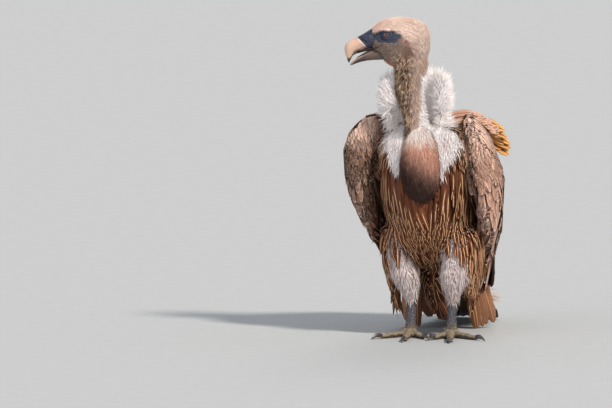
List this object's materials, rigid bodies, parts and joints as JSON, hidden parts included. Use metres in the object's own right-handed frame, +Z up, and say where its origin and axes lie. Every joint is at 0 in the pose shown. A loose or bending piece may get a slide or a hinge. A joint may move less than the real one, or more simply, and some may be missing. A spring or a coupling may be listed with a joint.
{
  "type": "griffon vulture, standing model",
  "caption": "Life-size griffon vulture standing with folded wings, head turned to its right in profile, white neck ruff, bulging crop patch and long streaked breast feathers.",
  "frame": {"origin": "middle of the bird's outline on the floor", "axes": "+Z up, the bird's breast faces -Y, its left wing is on +X, and its tail points to +Y"},
  "size_m": [0.3392, 0.6124, 0.6995],
  "materials": {
    "iris": "gloss",
    "cere_skin": "satin",
    "bill_horn": "gloss",
    "lower_bill_horn": "gloss",
    "head_down": "matte",
    "neck_down": "matte",
    "ruff_down": "matte",
    "crop_feather": "matte",
    "body_feather": "matte",
    "thigh_down": "matte",
    "covert_feather": "matte",
    "scapular_feather": "matte",
    "flight_feather": "matte",
    "tail_feather": "matte",
    "leg_scale": "matte",
    "toe_scale": "matte",
    "claw_horn": "gloss"
  },
  "bodies": {
    "root": {"eye_left": "iris", "eye_right": "iris", "cere": "cere_skin", "bill_upper": "bill_horn", "bill_lower": "lower_bill_horn", "head": "head_down", "neck": "neck_down", "ruff": "ruff_down", "crop": "crop_feather", "tail": "tail_feather", "wing_left_coverts": "covert_feather", "wing_left_secondaries": "flight_feather", "wing_left_primaries": "flight_feather", "scapulars_left": "scapular_feather", "tarsus_left": "leg_scale", "thigh_left": "thigh_down", "flank_left": "body_feather", "claw_middle_left": "claw_horn", "toe_middle_left": "toe_scale", "claw_inner_left": "claw_horn", "toe_inner_left": "toe_scale", "claw_outer_left": "claw_horn", "toe_outer_left": "toe_scale", "claw_hind_left": "claw_horn", "toe_hind_left": "toe_scale", "wing_right_coverts": "covert_feather", "wing_right_secondaries": "flight_feather", "wing_right_primaries": "flight_feather", "scapulars_right": "scapular_feather", "tarsus_right": "leg_scale", "thigh_right": "thigh_down", "flank_right": "body_feather", "claw_middle_right": "claw_horn", "toe_middle_right": "toe_scale", "claw_inner_right": "claw_horn", "toe_inner_right": "toe_scale", "claw_outer_right": "claw_horn", "toe_outer_right": "toe_scale", "claw_hind_right": "claw_horn", "toe_hind_right": "toe_scale", "trunk": "body_feather", "undertail_coverts": "body_feather"}
  },
  "joints": []
}
